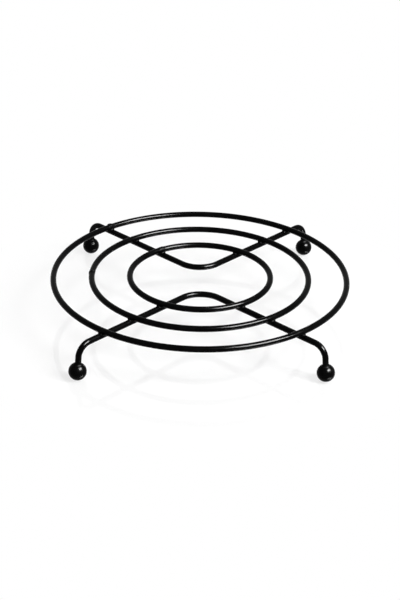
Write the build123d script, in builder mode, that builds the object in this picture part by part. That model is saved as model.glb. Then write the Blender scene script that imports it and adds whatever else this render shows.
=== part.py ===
from build123d import *
from math import atan2, cos, degrees, radians, sin, sqrt
import os

# Round wire trivet: three concentric wire rings lie in one plane on two bent leg wires.
# Each leg wire is one length of wire. It is bent to a V in plan, and both of its ends turn
# down into short splayed legs that stand in drilled ball feet. The rings are welded to the
# leg wires at twelve crossings, each ring is closed by a butt weld, and a fillet of weld
# holds every leg in its ball. The outer and inner rings are closed over the rear left arm.
#
# Frame: +Z up, origin on the table under the trivet's centre. The two leg wires mirror each
# other across the XZ plane: the front one is on the -Y side, the rear one on the +Y side.

# --- Driving dimensions, in millimetres and degrees ---
overall_diameter = 200.0  # over the outer ring
overall_height = 29.3  # table to the top of the rings
wire_diameter = 4.0  # every ring and both leg wires
ring_pitch = 25.5  # centreline of one ring to the centreline of the next

arm_angle = 45.0  # each arm of a leg wire to the X axis, in plan
arm_offset = 12.8  # trivet's centre to the point on Y where two arms' centrelines would meet
middle_bend_radius = 16.5  # centreline radius where a leg wire's two arms meet
knee_bend_radius = 8.5  # centreline radius where an arm turns down into a leg
arm_overhang = 19.2  # outer ring's centreline to the knee's corner, along the arm
leg_splay = 4.4  # lean of a leg from the vertical, outwards to its own side

foot_diameter = 11.6  # ball foot
foot_bore_depth = 5.5  # blind hole in the ball, from its crown along the leg
foot_bore_clearance = 0.05  # radial, between the wire and the hole

weld_sink = 0.6  # how far welding sets a ring down into a leg wire
crossing_weld_spread = 0.6  # how far the weld stands out from under the ring
crossing_weld_height = 1.8

butt_gap = 0.8  # between the two ends of a ring's wire
butt_bead_width = 3.0  # along the ring
butt_bead_rise = 0.6  # height of the bead over the wire
middle_seam_angle = 178.0  # where the middle ring is closed, from +X

foot_weld_reach = 1.0  # how far the weld round a leg spreads over the ball, from the wire
foot_weld_rise = 0.8  # how far it climbs the wire above the ball's crown
foot_weld_lip = 0.1  # its thickness at the top

# --- Sizes that follow from them ---
wire_radius = wire_diameter / 2
foot_radius = foot_diameter / 2
outer_radius = overall_diameter / 2 - wire_radius
middle_radius = outer_radius - ring_pitch
inner_radius = middle_radius - ring_pitch
ring_height = overall_height - wire_radius
arm_height = ring_height - wire_diameter + weld_sink
contact_height = (ring_height + arm_height) / 2

FRONT, REAR, LEFT, RIGHT = -1, 1, -1, 1
CORNERS = [(LEFT, FRONT), (RIGHT, FRONT), (LEFT, REAR), (RIGHT, REAR)]
UP = Vector(0, 0, 1)


def arm_direction(side_x, side_y):
    """Unit vector along an arm, outwards."""
    return Vector(side_x * cos(radians(arm_angle)), side_y * sin(radians(arm_angle)), 0)


def arm_point(side_x, side_y, distance, height=arm_height):
    """Point on an arm's line, at a distance from where the wire's two arm lines meet."""
    meeting = Vector(0, side_y * arm_offset, height)
    return meeting + arm_direction(side_x, side_y) * distance


def crossing_distance(ring_radius):
    """Distance along an arm at which it passes under a ring's centreline."""
    sideways = arm_offset * cos(radians(arm_angle))
    return sqrt(ring_radius**2 - sideways**2) - arm_offset * sin(radians(arm_angle))


def rear_left_crossing_angle(ring_radius):
    """Angle from +X at which a ring crosses the rear leg wire's left arm."""
    point = arm_point(LEFT, REAR, crossing_distance(ring_radius))
    return degrees(atan2(point.Y, point.X))


def knee_point(side_x, side_y):
    """Corner at which an arm's line meets its leg's line."""
    return arm_point(side_x, side_y, crossing_distance(outer_radius) + arm_overhang)


def leg_direction(side_x):
    """Unit vector down a leg."""
    return Vector(side_x * sin(radians(leg_splay)), 0, -cos(radians(leg_splay)))


def foot_centre(side_x, side_y):
    """Centre of a ball foot: on its leg's line, one foot radius above the table."""
    leg_length = (arm_height - foot_radius) / cos(radians(leg_splay))
    return knee_point(side_x, side_y) + leg_direction(side_x) * leg_length


def leg_end(side_x, side_y):
    """End of the wire, seated on the bottom of the ball's hole."""
    back_up = foot_radius - foot_bore_depth
    return foot_centre(side_x, side_y) - leg_direction(side_x) * back_up


def foot_crown(side_x, side_y):
    """Plane at the crown of a ball, its normal pointing back up the leg."""
    up_leg = -leg_direction(side_x)
    return Plane(origin=foot_centre(side_x, side_y) + up_leg * foot_radius, z_dir=up_leg)


# --- Leg wires ---
def make_leg_wire(side_y, label):
    """One leg wire, from the end of its left leg over both arms to the end of its right leg."""
    with BuildPart() as wire:
        with BuildLine() as path:
            FilletPolyline(
                leg_end(LEFT, side_y),
                knee_point(LEFT, side_y),
                arm_point(RIGHT, side_y, 0),
                knee_point(RIGHT, side_y),
                leg_end(RIGHT, side_y),
                radius=[knee_bend_radius, middle_bend_radius, knee_bend_radius],
            )
        with BuildSketch(Plane(origin=path.line @ 0, z_dir=path.line % 0)):
            Circle(wire_radius)
        sweep(path=path.line)
    wire.part.label = label
    return wire


front_leg_wire = make_leg_wire(FRONT, "front_leg_wire")
rear_leg_wire = make_leg_wire(REAR, "rear_leg_wire")


# --- Rings ---
def radial_plane(angle):
    """Upright plane through the Z axis, its X direction pointing outwards at an angle."""
    outwards = Vector(cos(radians(angle)), sin(radians(angle)), 0)
    return Plane(origin=(0, 0, 0), x_dir=outwards, z_dir=outwards.cross(UP))


def make_ring(ring_radius, seam_angle, label):
    """A wire ring, open at its seam, with a shallow seat over each arm that it is welded to."""
    gap_angle = degrees(butt_gap / ring_radius)
    with BuildPart() as ring:
        with BuildSketch(radial_plane(seam_angle + gap_angle / 2)):
            with Locations((ring_radius, ring_height)):
                Circle(wire_radius)
        revolve(axis=Axis.Z, revolution_arc=360 - gap_angle)
        add(front_leg_wire.part, mode=Mode.SUBTRACT)
        add(rear_leg_wire.part, mode=Mode.SUBTRACT)
    ring.part.label = label
    return ring


def make_butt_weld(ring, ring_radius, seam_angle, label):
    """The weld that fills the gap between a ring's two ends and stands a little proud."""
    outwards = radial_plane(seam_angle).x_dir
    across_wire = Plane(
        origin=outwards * ring_radius + UP * ring_height,
        x_dir=outwards,
        z_dir=UP.cross(outwards),
    )
    with BuildPart() as bead:
        with BuildSketch(across_wire):
            Circle(wire_radius + butt_bead_rise)
        extrude(amount=butt_bead_width / 2, both=True)
        fillet(bead.edges().filter_by(GeomType.CIRCLE), radius=butt_bead_rise * 0.9)
        add(ring.part, mode=Mode.SUBTRACT)
        add(front_leg_wire.part, mode=Mode.SUBTRACT)
        add(rear_leg_wire.part, mode=Mode.SUBTRACT)
    bead.part.label = label
    return bead


# --- Welds where the rings cross the leg wires ---
def make_crossing_welds(ring, butt_weld, ring_radius, label):
    """The four welds between one ring and the arms under it."""
    distance = crossing_distance(ring_radius)
    crossings = [arm_point(*corner, distance, contact_height) for corner in CORNERS]
    with BuildPart() as welds:
        with Locations(*crossings):
            Cylinder(wire_radius + crossing_weld_spread, crossing_weld_height)
        add(front_leg_wire.part, mode=Mode.SUBTRACT)
        add(rear_leg_wire.part, mode=Mode.SUBTRACT)
        add(ring.part, mode=Mode.SUBTRACT)
        add(butt_weld.part, mode=Mode.SUBTRACT)
    welds.part.label = label
    return welds


# --- Ball feet ---
def make_foot(corner, label):
    """A ball with a blind hole for the end of its leg."""
    with BuildPart() as foot:
        with Locations(foot_centre(*corner)):
            Sphere(foot_radius)
        with Locations(foot_crown(*corner)):
            Hole(wire_radius + foot_bore_clearance, depth=foot_bore_depth)
    foot.part.label = label
    return foot


with BuildPart() as foot_welds:
    weld_base_radius = wire_radius + foot_weld_reach
    weld_base_drop = foot_radius - sqrt(foot_radius**2 - weld_base_radius**2)
    for foot_corner in CORNERS:
        with Locations(foot_crown(*foot_corner).offset(-weld_base_drop)):
            Cone(
                bottom_radius=weld_base_radius,
                top_radius=wire_radius + foot_weld_lip,
                height=weld_base_drop + foot_weld_rise,
                align=(Align.CENTER, Align.CENTER, Align.MIN),
            )
        with Locations(foot_centre(*foot_corner)):
            Sphere(foot_radius, mode=Mode.SUBTRACT)
    add(front_leg_wire.part, mode=Mode.SUBTRACT)
    add(rear_leg_wire.part, mode=Mode.SUBTRACT)
foot_welds.part.label = "foot_welds"

# --- Assembly ---
rings = {
    "outer": (outer_radius, rear_left_crossing_angle(outer_radius)),
    "middle": (middle_radius, middle_seam_angle),
    "inner": (inner_radius, rear_left_crossing_angle(inner_radius)),
}
pieces = [front_leg_wire, rear_leg_wire, foot_welds]
for name, (radius, seam) in rings.items():
    wire_ring = make_ring(radius, seam, f"{name}_ring")
    butt_weld = make_butt_weld(wire_ring, radius, seam, f"{name}_ring_butt_weld")
    crossing_label = f"{name}_ring_crossing_welds"
    crossing_welds = make_crossing_welds(wire_ring, butt_weld, radius, crossing_label)
    pieces += [wire_ring, butt_weld, crossing_welds]
for foot_corner, where in zip(CORNERS, ["front_left", "front_right", "rear_left", "rear_right"]):
    pieces.append(make_foot(foot_corner, f"{where}_foot"))

os.makedirs("parts", exist_ok=True)
for piece in pieces:
    export_step(piece.part, f"parts/{piece.part.label}.step")
    print(piece.part.label, len(piece.part.solids()), "solids", round(piece.part.volume, 1), "mm3")
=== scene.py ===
"""Black powder-coated wire trivet: three wire rings on two bent leg wires with ball feet.

Every piece is built here as a fine mesh in the CAD model's frame, in metres, and stands for its
CAD node. The rings, leg wires and balls have the CAD model's sizes and places.
"""

from math import acos, cos, pi, radians, sin, sqrt, tan, tau

import bmesh
import bpy
from mathutils import Matrix, Vector, noise


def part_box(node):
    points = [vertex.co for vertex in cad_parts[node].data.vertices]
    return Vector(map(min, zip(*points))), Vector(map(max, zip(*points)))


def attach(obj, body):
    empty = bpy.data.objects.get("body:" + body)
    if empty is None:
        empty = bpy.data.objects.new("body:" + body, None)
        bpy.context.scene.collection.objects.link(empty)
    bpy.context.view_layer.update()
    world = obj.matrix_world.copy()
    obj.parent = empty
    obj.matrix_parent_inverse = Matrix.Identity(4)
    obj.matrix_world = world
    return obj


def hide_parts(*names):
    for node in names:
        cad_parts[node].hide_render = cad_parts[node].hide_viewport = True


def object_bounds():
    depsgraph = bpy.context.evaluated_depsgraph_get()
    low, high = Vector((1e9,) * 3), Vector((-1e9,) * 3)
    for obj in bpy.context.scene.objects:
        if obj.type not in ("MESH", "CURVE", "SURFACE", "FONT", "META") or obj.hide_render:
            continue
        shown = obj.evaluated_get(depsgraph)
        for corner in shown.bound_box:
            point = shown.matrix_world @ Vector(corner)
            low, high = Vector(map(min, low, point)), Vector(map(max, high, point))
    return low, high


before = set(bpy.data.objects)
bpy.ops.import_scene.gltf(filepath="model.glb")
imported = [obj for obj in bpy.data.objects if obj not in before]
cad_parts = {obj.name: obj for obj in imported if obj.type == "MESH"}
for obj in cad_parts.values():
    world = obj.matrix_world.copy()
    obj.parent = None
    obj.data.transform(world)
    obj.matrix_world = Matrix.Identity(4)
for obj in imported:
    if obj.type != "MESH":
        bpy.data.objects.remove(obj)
cad_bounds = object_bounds()

MM = 0.001
UP = Vector((0, 0, 1))
SIDES_X = {"left": -1, "right": 1}
SIDES_Y = {"front": -1, "rear": 1}
RING_NAMES = ("outer", "middle", "inner")

# --- Sizes read from the frame ---
ring_low, ring_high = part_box("outer_ring")
foot_low, foot_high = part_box("front_left_foot")
WIRE_RADIUS = (ring_high.z - ring_low.z) / 2
RING_HEIGHT = (ring_high.z + ring_low.z) / 2
FOOT_RADIUS = (foot_high.x - foot_low.x) / 2


def ring_centreline_radius(name):
    low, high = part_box(f"{name}_ring")
    return (high.y - low.y) / 2 - WIRE_RADIUS


RING_RADII = {name: ring_centreline_radius(name) for name in RING_NAMES}
OUTER_RADIUS = RING_RADII["outer"]

# --- Sizes of the design that no node's box gives, as the CAD model has them ---
ARM_ANGLE = radians(45)  # to the X axis, in plan
ARM_OFFSET = 12.8 * MM  # trivet's centre to where a leg wire's two arms would meet
ARM_OVERHANG = 19.2 * MM  # outer ring's crossing to the knee's corner
LEG_SPLAY = radians(4.4)  # outwards to the leg's own side
MIDDLE_BEND_RADIUS = 16.5 * MM
KNEE_BEND_RADIUS = 8.5 * MM
WELD_SINK = 0.6 * MM  # how far welding sets a ring down into a leg wire
FOOT_BORE_DEPTH = 5.5 * MM
FOOT_BORE_CLEARANCE = 0.05 * MM
BUTT_GAP = 0.8 * MM  # between the two ends of a ring's wire
MIDDLE_SEAM_ANGLE = radians(178)  # where the middle ring is closed, from +X

ARM_HEIGHT = RING_HEIGHT - 2 * WIRE_RADIUS + WELD_SINK
WIRE_SPACING = RING_HEIGHT - ARM_HEIGHT  # a ring's centreline over an arm's

# --- How finely the meshes are made ---
WIRE_SIDES = 32
RING_STEP = 1.6 * MM
BEND_STEP = radians(4)
STRAIGHT_STEP = 4 * MM
BEAD_STEPS = 22
FILLET_TURNS = 72
FILLET_ARC_STEPS = 8
FILLET_SEAT_STEPS = 3
FOOT_TURNS = 64
FOOT_ARC_STEPS = 40
SHARP_ANGLE = radians(50)  # edges that are sharper than this are shaded as edges


# --- The design's points ---
def arm_direction(side_x, side_y):
    """Unit vector along an arm, outwards."""
    return Vector((side_x * cos(ARM_ANGLE), side_y * sin(ARM_ANGLE), 0))


def arm_point(side_x, side_y, distance):
    """Point on an arm's centreline, at a distance from where the wire's two arm lines meet."""
    start = Vector((0, side_y * ARM_OFFSET, ARM_HEIGHT))
    return start + arm_direction(side_x, side_y) * distance


def crossing_distance(ring_radius):
    """Distance along an arm at which it passes under a ring's centreline."""
    sideways = ARM_OFFSET * cos(ARM_ANGLE)
    return sqrt(ring_radius**2 - sideways**2) - ARM_OFFSET * sin(ARM_ANGLE)


def knee_point(side_x, side_y):
    """Corner at which an arm's line meets its leg's line."""
    return arm_point(side_x, side_y, crossing_distance(OUTER_RADIUS) + ARM_OVERHANG)


def leg_direction(side_x):
    """Unit vector down a leg."""
    return Vector((side_x * sin(LEG_SPLAY), 0, -cos(LEG_SPLAY)))


def foot_centre(side_x, side_y):
    leg_length = (ARM_HEIGHT - FOOT_RADIUS) / cos(LEG_SPLAY)
    return knee_point(side_x, side_y) + leg_direction(side_x) * leg_length


def leg_end(side_x, side_y):
    """End of the wire, on the bottom of the ball's hole."""
    back_up = FOOT_RADIUS - FOOT_BORE_DEPTH
    return foot_centre(side_x, side_y) - leg_direction(side_x) * back_up


def rear_left_crossing_angle(ring_radius):
    """Angle from +X at which a ring crosses the rear leg wire's left arm."""
    point = arm_point(SIDES_X["left"], SIDES_Y["rear"], crossing_distance(ring_radius))
    return point.xy.angle_signed(Vector((1, 0)))


# --- Mesh making ---
def shade(mesh):
    """Smooth shading, but for sharp edges."""
    mesh.shade_smooth()
    mesh.set_sharp_from_angle(angle=SHARP_ANGLE)


def mesh_piece(name, vertices, faces):
    """A smooth-shaded object from points and faces, with its normals outwards."""
    mesh = bpy.data.meshes.new(name)
    mesh.from_pydata(vertices, [], faces)
    build = bmesh.new()
    build.from_mesh(mesh)
    bmesh.ops.recalc_face_normals(build, faces=build.faces)
    build.to_mesh(mesh)
    build.free()
    shade(mesh)
    piece = bpy.data.objects.new(name, mesh)
    bpy.context.scene.collection.objects.link(piece)
    return piece


def loft(loops, closed_path):
    """Vertices and quads through loops of equal length. Open paths get a flat cap at each end."""
    count = len(loops[0])
    vertices = [point for loop in loops for point in loop]
    spans = len(loops) if closed_path else len(loops) - 1
    faces = []
    for i in range(spans):
        here, there = i * count, (i + 1) % len(loops) * count
        for j in range(count):
            k = (j + 1) % count
            faces.append((here + j, here + k, there + k, there + j))
    if not closed_path:
        faces.append(tuple(reversed(range(count))))
        faces.append(tuple(range(len(vertices) - count, len(vertices))))
    return vertices, faces


def wire_loop(centre, side, up):
    """Points round a wire's skin, in the plane of two unit vectors."""
    angles = [tau * j / WIRE_SIDES for j in range(WIRE_SIDES)]
    return [centre + (side * cos(a) + up * sin(a)) * WIRE_RADIUS for a in angles]


def arc_points(centre, start, end, steps):
    """Points of the arc about centre from one spoke to another, both of its ends included."""
    turn = start.angle(end)
    points = []
    for i in range(steps + 1):
        share = i / steps
        weights = sin((1 - share) * turn), sin(share * turn)
        points.append(centre + (start * weights[0] + end * weights[1]) / sin(turn))
    return points


def subtract(piece, *cutters):
    """Cuts other pieces' meshes out of a piece."""
    for cutter in cutters:
        cut = piece.modifiers.new("cut", "BOOLEAN")
        cut.operation = "DIFFERENCE"
        cut.solver = "EXACT"
        cut.object = cutter
    bpy.context.view_layer.update()
    evaluated = piece.evaluated_get(bpy.context.evaluated_depsgraph_get())
    mesh = bpy.data.meshes.new_from_object(evaluated)
    piece.modifiers.clear()
    piece.data = mesh
    shade(mesh)


# --- Leg wires ---
def bend(before, corner, after, radius):
    """Points of the arc that rounds a corner."""
    towards_before = (before - corner).normalized()
    towards_after = (after - corner).normalized()
    half = towards_before.angle(towards_after) / 2
    centre = corner + (towards_before + towards_after).normalized() * radius / sin(half)
    start = corner + towards_before * radius / tan(half) - centre
    end = corner + towards_after * radius / tan(half) - centre
    return arc_points(centre, start, end, max(2, round(start.angle(end) / BEND_STEP)))


def leg_wire_path(side_y):
    """Centreline of a leg wire, from the end of its left leg to the end of its right leg."""
    left, right = SIDES_X["left"], SIDES_X["right"]
    corners = [
        leg_end(left, side_y),
        knee_point(left, side_y),
        arm_point(right, side_y, 0),
        knee_point(right, side_y),
        leg_end(right, side_y),
    ]
    radii = [KNEE_BEND_RADIUS, MIDDLE_BEND_RADIUS, KNEE_BEND_RADIUS]
    turns = [bend(*corners[i : i + 3], radii[i]) for i in range(3)]
    path = [corners[0]]
    for stretch in (*turns, [corners[-1]]):
        run = stretch[0] - path[-1]
        steps = max(1, round(run.length / STRAIGHT_STEP))
        path += [path[-1] + run * i / steps for i in range(1, steps)]
        path += stretch
    return path


def swept_wire(path):
    """Loops of wire round an open path, without twist."""
    tangent = (path[1] - path[0]).normalized()
    side = tangent.orthogonal().normalized()
    loops = []
    for i, point in enumerate(path):
        ahead = path[min(i + 1, len(path) - 1)] - path[max(i - 1, 0)]
        turned = ahead.normalized()
        side.rotate(tangent.rotation_difference(turned))
        tangent = turned
        loops.append(wire_loop(point, side, tangent.cross(side)))
    return loops


def make_leg_wire(where):
    vertices, faces = loft(swept_wire(leg_wire_path(SIDES_Y[where])), closed_path=False)
    return mesh_piece(f"{where}_leg_wire_coated", vertices, faces)


# --- Rings ---
def ring_frame(ring_radius, angle):
    """A ring's centreline point at an angle, and the outward unit vector there."""
    outwards = Vector((cos(angle), sin(angle), 0))
    return outwards * ring_radius + UP * RING_HEIGHT, outwards


def make_ring(name, seam_angle):
    """A wire ring, open at its seam."""
    ring_radius = RING_RADII[name]
    gap_angle = BUTT_GAP / ring_radius
    steps = round(tau * ring_radius / RING_STEP)
    loops = []
    for i in range(steps + 1):
        angle = seam_angle + gap_angle / 2 + (tau - gap_angle) * i / steps
        centre, outwards = ring_frame(ring_radius, angle)
        loops.append(wire_loop(centre, outwards, UP))
    vertices, faces = loft(loops, closed_path=False)
    return mesh_piece(f"{name}_ring_coated", vertices, faces)


# --- The welds that close the rings ---
BEAD_REACH = 2.2 * MM  # how far a bead goes along the ring, to each side of the seam
BEAD_SKIN = 0.015 * MM  # thinnest that it gets over the wire
BEAD_HOLLOW_RADIUS = 0.3 * WIRE_RADIUS  # left open round the wire's axis, unseen in the gap
BEAD_CREASE_REACH = 0.5 * MM  # to each side of the seam
BEAD_GRAIN = 0.25  # share of its height by which a bead's top is uneven
BEAD_GRAIN_PATH = 2  # radius of the circle walked in the noise round the wire
# The bead covers the upper part of the wire. It thins out over these two levels of the sine of
# the angle round the wire, once that is turned a little outwards.
BEAD_FOOT, BEAD_SHOULDER = -0.35, 0.75
BEAD_TURN = 0.25
# Where its crest begins and ends, as shares of its reach, before and after its lean.
CREST_BEFORE, CREST_AFTER = 0.3, 0.1

BUTT_WELDS = {
    "outer": {"rise": 0.62 * MM, "lean": 0.8 * MM, "notch": 0},
    "middle": {"rise": 0.35 * MM, "lean": 0, "notch": 0.35 * MM},
    "inner": {"rise": 0.25 * MM, "lean": -0.4 * MM, "notch": 0.1 * MM},
}


def smooth_step(low, high, value):
    """Rises smoothly from 0 to 1 while the value goes from low to high."""
    share = min(1, max(0, (value - low) / (high - low)))
    return share * share * (3 - 2 * share)


def make_butt_weld(name, seam_angle, rise, lean, notch):
    """The weld that closes a ring: a plug in the gap and a lump over the top of both ends.

    rise is the lump's height, lean how far along the ring its crest is, and notch the depth of
    the crease across it.
    """
    ring_radius = RING_RADII[name]
    half_gap = BUTT_GAP / 2

    def over_wire(along, around):
        """Radius of the lump at a distance along the ring and an angle around the wire."""
        before = smooth_step(-BEAD_REACH, lean - CREST_BEFORE * BEAD_REACH, along)
        after = 1 - smooth_step(lean + CREST_AFTER * BEAD_REACH, BEAD_REACH, along)
        top = smooth_step(BEAD_FOOT, BEAD_SHOULDER, sin(around + BEAD_TURN))
        crease = notch * max(0, 1 - abs(along) / BEAD_CREASE_REACH)
        across = BEAD_GRAIN_PATH * cos(around), BEAD_GRAIN_PATH * sin(around)
        grain = 1 + BEAD_GRAIN * noise.noise(Vector((along / MM, *across)))
        lump = max(0, rise * before * after * grain - crease) * top
        return WIRE_RADIUS + BEAD_SKIN + lump

    def on_wire(along, around):
        return WIRE_RADIUS

    def in_gap(along, around):
        return BEAD_HOLLOW_RADIUS

    def loop_at(along, radius_at):
        centre, outwards = ring_frame(ring_radius, seam_angle + along / ring_radius)
        points = []
        for j in range(WIRE_SIDES):
            around = tau * j / WIRE_SIDES
            spoke = outwards * cos(around) + UP * sin(around)
            points.append(centre + spoke * radius_at(along, around))
        return points

    stations = [-BEAD_REACH + 2 * BEAD_REACH * i / BEAD_STEPS for i in range(BEAD_STEPS + 1)]
    loops = [loop_at(along, over_wire) for along in stations]
    way_back = [
        (BEAD_REACH, on_wire),
        (half_gap, on_wire),
        (half_gap, in_gap),
        (-half_gap, in_gap),
        (-half_gap, on_wire),
        (-BEAD_REACH, on_wire),
    ]
    loops += [loop_at(along, radius_at) for along, radius_at in way_back]
    vertices, faces = loft(loops, closed_path=True)
    return mesh_piece(f"{name}_ring_butt_weld_coated", vertices, faces)


# --- The fillets of weld at the crossings and the balls ---
CROSSING_FILLET_RADIUS = 0.8 * MM
CROSSING_UNEVENNESS = 0.45  # share of the radius by which it varies
FOOT_FILLET_RADIUS = 1.8 * MM
FOOT_UNEVENNESS = 0.35
UNEVEN_PATH = 1.3  # radius of the circle walked in the noise round a joint: larger is lumpier
SEED_STEP = 7.1  # keeps the joints far apart in the noise


def fillet_loops(touch, radius_at):
    """Loops round a joint that a rolling ball of varying radius fills.

    touch(turn, radius) gives the ball's centre and the points where it touches each surface.
    Each loop runs up the first surface, over the fillet's hollow and back down the second.
    """
    loops = []
    for i in range(FILLET_TURNS):
        turn = tau * i / FILLET_TURNS
        radius = radius_at(turn)
        seats = [touch(turn, radius * k / FILLET_SEAT_STEPS) for k in range(FILLET_SEAT_STEPS)]
        up_first = [seat[1] for seat in seats]
        centre, first, second = touch(turn, radius)
        hollow = arc_points(centre, first - centre, second - centre, FILLET_ARC_STEPS)
        down_second = [seat[2] for seat in reversed(seats[1:])]
        loops.append(up_first + hollow + down_second)
    return loops


def uneven(radius, spread, seed):
    """A fillet radius that varies smoothly round the joint, as weld metal does."""

    def radius_at(turn):
        where = Vector((UNEVEN_PATH * cos(turn), UNEVEN_PATH * sin(turn), SEED_STEP * seed))
        return radius * (1 + spread * noise.noise(where))

    return radius_at


def crossing_touch(ring_radius, side_x, side_y):
    """The rolling ball between a ring and the arm that it lies across.

    Its centre is at the same reach from both centrelines. span is the sum of the squares of its
    sideways distances from them, and follows from that and from the spacing of the two wires.
    """
    arm = arm_direction(side_x, side_y)
    across = UP.cross(arm)
    start = arm_point(side_x, side_y, 0)

    def touch(turn, radius):
        reach = WIRE_RADIUS + radius
        bulge = cos(2 * turn) ** 2 / WIRE_SPACING**2
        spare = reach**2 - WIRE_SPACING**2 / 4
        span = 2 * spare / (0.5 + sqrt(0.25 + bulge * spare))
        off_arm = sqrt(span) * cos(turn)
        off_ring = sqrt(span) * sin(turn)
        height = (WIRE_SPACING**2 - span * cos(2 * turn)) / (2 * WIRE_SPACING)

        beside = start + across * off_arm
        along = beside.xy.dot(arm.xy)
        from_axis = ring_radius + off_ring
        run = sqrt(along**2 - beside.xy.length_squared + from_axis**2) - along
        centre = beside + arm * run + UP * height
        outwards = Vector((centre.x, centre.y, 0)).normalized()
        on_arm_line = start + arm * run
        on_ring_line = outwards * ring_radius + UP * RING_HEIGHT
        share = WIRE_RADIUS / reach
        on_arm = on_arm_line + (centre - on_arm_line) * share
        on_ring = on_ring_line + (centre - on_ring_line) * share
        return centre, on_arm, on_ring

    return touch


def foot_touch(side_x, side_y):
    """The rolling ball between a leg and its ball foot."""
    up_leg = -leg_direction(side_x)
    middle = foot_centre(side_x, side_y)
    side = up_leg.orthogonal().normalized()
    other = up_leg.cross(side)

    def touch(turn, radius):
        spoke = side * cos(turn) + other * sin(turn)
        reach = WIRE_RADIUS + radius
        climb = sqrt((FOOT_RADIUS + radius) ** 2 - reach**2)
        centre = middle + spoke * reach + up_leg * climb
        on_leg = middle + spoke * WIRE_RADIUS + up_leg * climb
        on_ball = middle + (centre - middle) * FOOT_RADIUS / (FOOT_RADIUS + radius)
        return centre, on_leg, on_ball

    return touch


def joined(name, groups):
    """One object from several closed lofts."""
    vertices, faces = [], []
    for loops in groups:
        points, quads = loft(loops, closed_path=True)
        faces += [tuple(index + len(vertices) for index in quad) for quad in quads]
        vertices += points
    return mesh_piece(name, vertices, faces)


def make_crossing_welds(name):
    ring_radius = RING_RADII[name]
    groups = []
    for side_y in SIDES_Y.values():
        for side_x in SIDES_X.values():
            seed = ring_radius / MM + 3 * side_x + 5 * side_y  # differs at every crossing
            radius_at = uneven(CROSSING_FILLET_RADIUS, CROSSING_UNEVENNESS, seed)
            groups.append(fillet_loops(crossing_touch(ring_radius, side_x, side_y), radius_at))
    return joined(f"{name}_ring_crossing_welds_coated", groups)


def make_foot_welds():
    groups = []
    for side_y in SIDES_Y.values():
        for side_x in SIDES_X.values():
            seed = side_x + 2 * side_y  # differs at every ball
            radius_at = uneven(FOOT_FILLET_RADIUS, FOOT_UNEVENNESS, seed)
            groups.append(fillet_loops(foot_touch(side_x, side_y), radius_at))
    return joined("foot_welds_coated", groups)


# --- Ball feet ---
def make_foot(where_y, where_x):
    """A drilled ball, turned about its leg's axis: its profile, a pole and the hole's bottom."""
    side_x, side_y = SIDES_X[where_x], SIDES_Y[where_y]
    up_leg = -leg_direction(side_x)
    middle = foot_centre(side_x, side_y)
    side = up_leg.orthogonal().normalized()
    other = up_leg.cross(side)
    bore_radius = WIRE_RADIUS + FOOT_BORE_CLEARANCE
    mouth = acos(sqrt(FOOT_RADIUS**2 - bore_radius**2) / FOOT_RADIUS)
    profile = [(bore_radius, FOOT_RADIUS - FOOT_BORE_DEPTH)]
    for i in range(FOOT_ARC_STEPS):
        polar = mouth + (pi - mouth) * i / FOOT_ARC_STEPS
        profile.append((FOOT_RADIUS * sin(polar), FOOT_RADIUS * cos(polar)))
    count = len(profile)
    pole = FOOT_TURNS * count
    vertices, faces = [], []
    for i in range(FOOT_TURNS):
        turn = tau * i / FOOT_TURNS
        spoke = side * cos(turn) + other * sin(turn)
        vertices += [middle + spoke * out + up_leg * along for out, along in profile]
        here, there = i * count, (i + 1) % FOOT_TURNS * count
        faces += [(here + j, there + j, there + j + 1, here + j + 1) for j in range(count - 1)]
        faces.append((here + count - 1, there + count - 1, pole))
    vertices.append(middle - up_leg * FOOT_RADIUS)
    faces.append(tuple(i * count for i in range(FOOT_TURNS)))
    return mesh_piece(f"{where_y}_{where_x}_foot_coated", vertices, faces)


# --- Materials ---
# Each pattern of noise: features to a metre, and its detail.
PATCHES = (140, 3)  # where the coat came out thicker or thinner
ORANGE_PEEL = (1100, 1)
FINE_GRAIN = (5200, 2)
# Levels of the patches' noise over which the tone, and the finish, go from one end to the other.
TONE_SPAN = (0.35, 0.68)
FINISH_SPAN = (0.3, 0.7)

DEEP_BLACK = (0.0005, 0.0005, 0.0005)


def coating(name, dark, light, roughness, gloss, peel_depth, grain_depth):
    """Black powder coat: orange peel, fine grain, and a finish that is a little uneven.

    dark and light are the two blacks that it varies between, roughness its lowest and highest
    roughness, and gloss the level of its specular reflection.
    """
    material = bpy.data.materials.new(name)
    material.use_nodes = True
    nodes, links = material.node_tree.nodes, material.node_tree.links
    shader = nodes["Principled BSDF"]
    shader.inputs["Specular IOR Level"].default_value = gloss
    place = nodes.new("ShaderNodeTexCoord")

    def pattern(scale, detail):
        texture = nodes.new("ShaderNodeTexNoise")
        texture.inputs["Scale"].default_value = scale
        texture.inputs["Detail"].default_value = detail
        links.new(place.outputs["Object"], texture.inputs["Vector"])
        return texture.outputs["Fac"]

    patches = pattern(*PATCHES)
    tone = nodes.new("ShaderNodeValToRGB")
    for stop, position, colour in zip(tone.color_ramp.elements, TONE_SPAN, (dark, light)):
        stop.position = position
        stop.color = (*colour, 1)
    links.new(patches, tone.inputs["Fac"])
    links.new(tone.outputs["Color"], shader.inputs["Base Color"])

    finish = nodes.new("ShaderNodeMapRange")
    limits = zip(("From Min", "From Max", "To Min", "To Max"), (*FINISH_SPAN, *roughness))
    for limit, value in limits:
        finish.inputs[limit].default_value = value
    links.new(patches, finish.inputs["Value"])
    links.new(finish.outputs["Result"], shader.inputs["Roughness"])

    normal = None
    for look, depth in ((ORANGE_PEEL, peel_depth), (FINE_GRAIN, grain_depth)):
        bump = nodes.new("ShaderNodeBump")
        bump.inputs["Distance"].default_value = depth
        links.new(pattern(*look), bump.inputs["Height"])
        if normal:
            links.new(normal, bump.inputs["Normal"])
        normal = bump.outputs["Normal"]
    links.new(normal, shader.inputs["Normal"])
    return material


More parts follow.
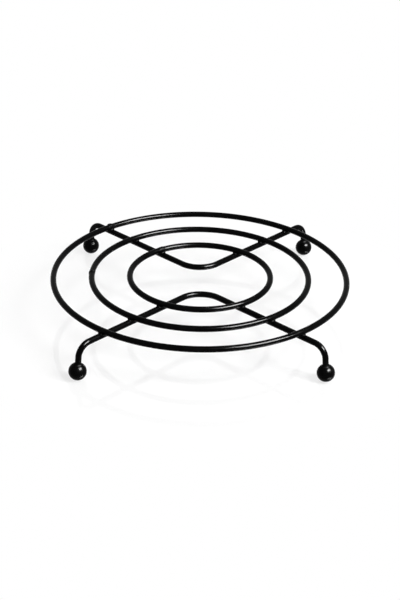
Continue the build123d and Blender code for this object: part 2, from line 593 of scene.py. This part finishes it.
wire_coat = coating(
    "wire_coat",
    dark=DEEP_BLACK,
    light=(0.0015, 0.0015, 0.0016),
    roughness=(0.14, 0.20),
    gloss=0.020,
    peel_depth=0.016 * MM,
    grain_depth=0.002 * MM,
)
weld_coat = coating(
    "weld_coat",
    dark=DEEP_BLACK,
    light=(0.0015, 0.0015, 0.0015),
    roughness=(0.36, 0.50),
    gloss=0.012,
    peel_depth=0.03 * MM,
    grain_depth=0.003 * MM,
)
foot_coat = coating(
    "foot_coat",
    dark=DEEP_BLACK,
    light=(0.0014, 0.0014, 0.0015),
    roughness=(0.17, 0.24),
    gloss=0.020,
    peel_depth=0.02 * MM,
    grain_depth=0.002 * MM,
)


# --- The trivet ---
def finish_piece(piece, node, material):
    """Gives a piece its coat, and has it stand for its CAD node."""
    piece.data.materials.clear()
    piece.data.materials.append(material)
    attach(piece, "root")
    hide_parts(node)


leg_wires = {where: make_leg_wire(where) for where in SIDES_Y}
for where, piece in leg_wires.items():
    finish_piece(piece, f"{where}_leg_wire", wire_coat)

SEAM_ANGLES = {
    "outer": rear_left_crossing_angle(RING_RADII["outer"]),
    "middle": MIDDLE_SEAM_ANGLE,
    "inner": rear_left_crossing_angle(RING_RADII["inner"]),
}
for name, seam_angle in SEAM_ANGLES.items():
    ring = make_ring(name, seam_angle)
    subtract(ring, *leg_wires.values())
    finish_piece(ring, f"{name}_ring", wire_coat)
    bead = make_butt_weld(name, seam_angle, **BUTT_WELDS[name])
    subtract(bead, *leg_wires.values())
    finish_piece(bead, f"{name}_ring_butt_weld", weld_coat)
    welds = make_crossing_welds(name)
    finish_piece(welds, f"{name}_ring_crossing_welds", weld_coat)

finish_piece(make_foot_welds(), "foot_welds", weld_coat)
for where_y in SIDES_Y:
    for where_x in SIDES_X:
        foot = make_foot(where_y, where_x)
        finish_piece(foot, f"{where_y}_{where_x}_foot", foot_coat)


# --- Stage ---
def mixed(tree, share, first, second):
    """First shader with a share of the second mixed in. The share is a number or a socket."""
    mix = tree.nodes.new("ShaderNodeMixShader")
    if isinstance(share, float):
        mix.inputs["Fac"].default_value = share
    else:
        tree.links.new(share, mix.inputs["Fac"])
    tree.links.new(first, mix.inputs[1])
    tree.links.new(second, mix.inputs[2])
    return mix.outputs[0]


def white_to_eyes(tree, unseen, seen):
    """Mixes two shaders: seen is for camera, glossy and transmission rays, unseen for the rest."""
    path = tree.nodes.new("ShaderNodeLightPath")
    total = path.outputs["Is Camera Ray"]
    for name in ("Is Glossy Ray", "Is Transmission Ray"):
        either = tree.nodes.new("ShaderNodeMath")
        either.operation = "MAXIMUM"
        tree.links.new(total, either.inputs[0])
        tree.links.new(path.outputs[name], either.inputs[1])
        total = either.outputs[0]
    return mixed(tree, total, unseen, seen)


WHITE = (1, 1, 1, 1)
WORLD_LEVEL = 0.32  # how bright the room is to what it lights, against white to the eye

FLOOR_RADIUS = 6.0
FLOOR_SIDES = 96
FLOOR_TONE = 0.9
FLOOR_SHADOW_SHARE = 0.22  # how much of the floor's white the lamps make, so what a shadow takes
FLOOR_MIRROR_SHARE = 0.065
FLOOR_MIRROR_ROUGHNESS = 0.02
FLOOR_FADE = (0.11, 0.17)  # distances from the centre over which the floor turns plain white

LAMP_DISTANCE = 1.6  # from the middle of the rings


def make_floor():
    bpy.ops.mesh.primitive_circle_add(vertices=FLOOR_SIDES, radius=FLOOR_RADIUS, fill_type="NGON")
    floor = bpy.context.object
    floor.name = "floor"
    floor.location.z = cad_bounds[0][2]
    material = bpy.data.materials.new("white_acrylic")
    material.use_nodes = True
    tree = material.node_tree
    tree.nodes.clear()

    lit = tree.nodes.new("ShaderNodeBsdfDiffuse")
    lit.inputs["Color"].default_value = (FLOOR_TONE, FLOOR_TONE, FLOOR_TONE, 1)
    white = tree.nodes.new("ShaderNodeEmission")
    mirror = tree.nodes.new("ShaderNodeBsdfGlossy")
    mirror.inputs["Color"].default_value = WHITE
    mirror.inputs["Roughness"].default_value = FLOOR_MIRROR_ROUGHNESS

    place = tree.nodes.new("ShaderNodeTexCoord")
    distance = tree.nodes.new("ShaderNodeVectorMath")
    distance.operation = "LENGTH"
    tree.links.new(place.outputs["Object"], distance.inputs[0])
    fade = tree.nodes.new("ShaderNodeMapRange")
    fade.interpolation_type = "SMOOTHSTEP"
    fade.inputs["From Min"].default_value = FLOOR_FADE[0]
    fade.inputs["From Max"].default_value = FLOOR_FADE[1]
    tree.links.new(distance.outputs["Value"], fade.inputs["Value"])

    near = mixed(tree, FLOOR_SHADOW_SHARE, white.outputs[0], lit.outputs[0])
    near = mixed(tree, FLOOR_MIRROR_SHARE, near, mirror.outputs[0])
    seen = mixed(tree, fade.outputs["Result"], near, white.outputs[0])
    output = tree.nodes.new("ShaderNodeOutputMaterial")
    tree.links.new(white_to_eyes(tree, lit.outputs[0], seen), output.inputs["Surface"])
    floor.data.materials.append(material)


def make_world():
    world = bpy.data.worlds.new("studio")
    bpy.context.scene.world = world
    world.use_nodes = True
    tree = world.node_tree
    tree.nodes.clear()
    soft = tree.nodes.new("ShaderNodeBackground")
    soft.inputs["Color"].default_value = (WORLD_LEVEL, WORLD_LEVEL, WORLD_LEVEL, 1)
    white = tree.nodes.new("ShaderNodeBackground")
    white.inputs["Color"].default_value = WHITE
    output = tree.nodes.new("ShaderNodeOutputWorld")
    surface = white_to_eyes(tree, soft.outputs[0], white.outputs[0])
    tree.links.new(surface, output.inputs["Surface"])


def softbox(name, azimuth, elevation, size, power, sheen_only=False):
    """A rectangular lamp, out of sight, that faces the trivet. Angles are in degrees, from +X.

    One that is for the sheen alone shows in the gloss and adds no other light.
    """
    data = bpy.data.lights.new(name, "AREA")
    data.shape = "RECTANGLE"
    data.size, data.size_y = size
    data.energy = power
    lamp = bpy.data.objects.new(name, data)
    bpy.context.scene.collection.objects.link(lamp)
    around, above = radians(azimuth), radians(elevation)
    towards = Vector((cos(around) * cos(above), sin(around) * cos(above), sin(above)))
    lamp.location = towards * LAMP_DISTANCE + UP * RING_HEIGHT
    lamp.rotation_mode = "QUATERNION"
    lamp.rotation_quaternion = towards.to_track_quat("Z", "Y")
    lamp.visible_camera = False
    lamp.visible_diffuse = not sheen_only


make_floor()
make_world()
softbox("key", azimuth=-28, elevation=40, size=(0.65, 0.75), power=42)
softbox("sheen", azimuth=-36, elevation=48, size=(0.95, 0.60), power=700, sheen_only=True)

# --- Camera ---
CAMERA_PLACE = Vector((-0.02326, -0.88607, 0.48437))
CAMERA_PITCH = radians(28.203)  # below the horizontal
CAMERA_HEADING = radians(-1.521)  # from +Y, positive towards -X
CAMERA_ROLL = radians(1.141)
CAMERA_LENS = 89.25  # in millimetres, as is the sensor
CAMERA_SENSOR_WIDTH = 36

camera_data = bpy.data.cameras.new("camera")
camera_data.lens = CAMERA_LENS
camera_data.sensor_width = CAMERA_SENSOR_WIDTH
camera = bpy.data.objects.new("camera", camera_data)
bpy.context.scene.collection.objects.link(camera)
heading = Matrix.Rotation(CAMERA_HEADING, 4, "Z")
tilt = Matrix.Rotation(pi / 2 - CAMERA_PITCH, 4, "X")
roll = Matrix.Rotation(CAMERA_ROLL, 4, "Z")
camera.matrix_world = Matrix.Translation(CAMERA_PLACE) @ heading @ tilt @ roll
bpy.context.scene.camera = camera
bpy.context.scene.view_settings.view_transform = "Standard"
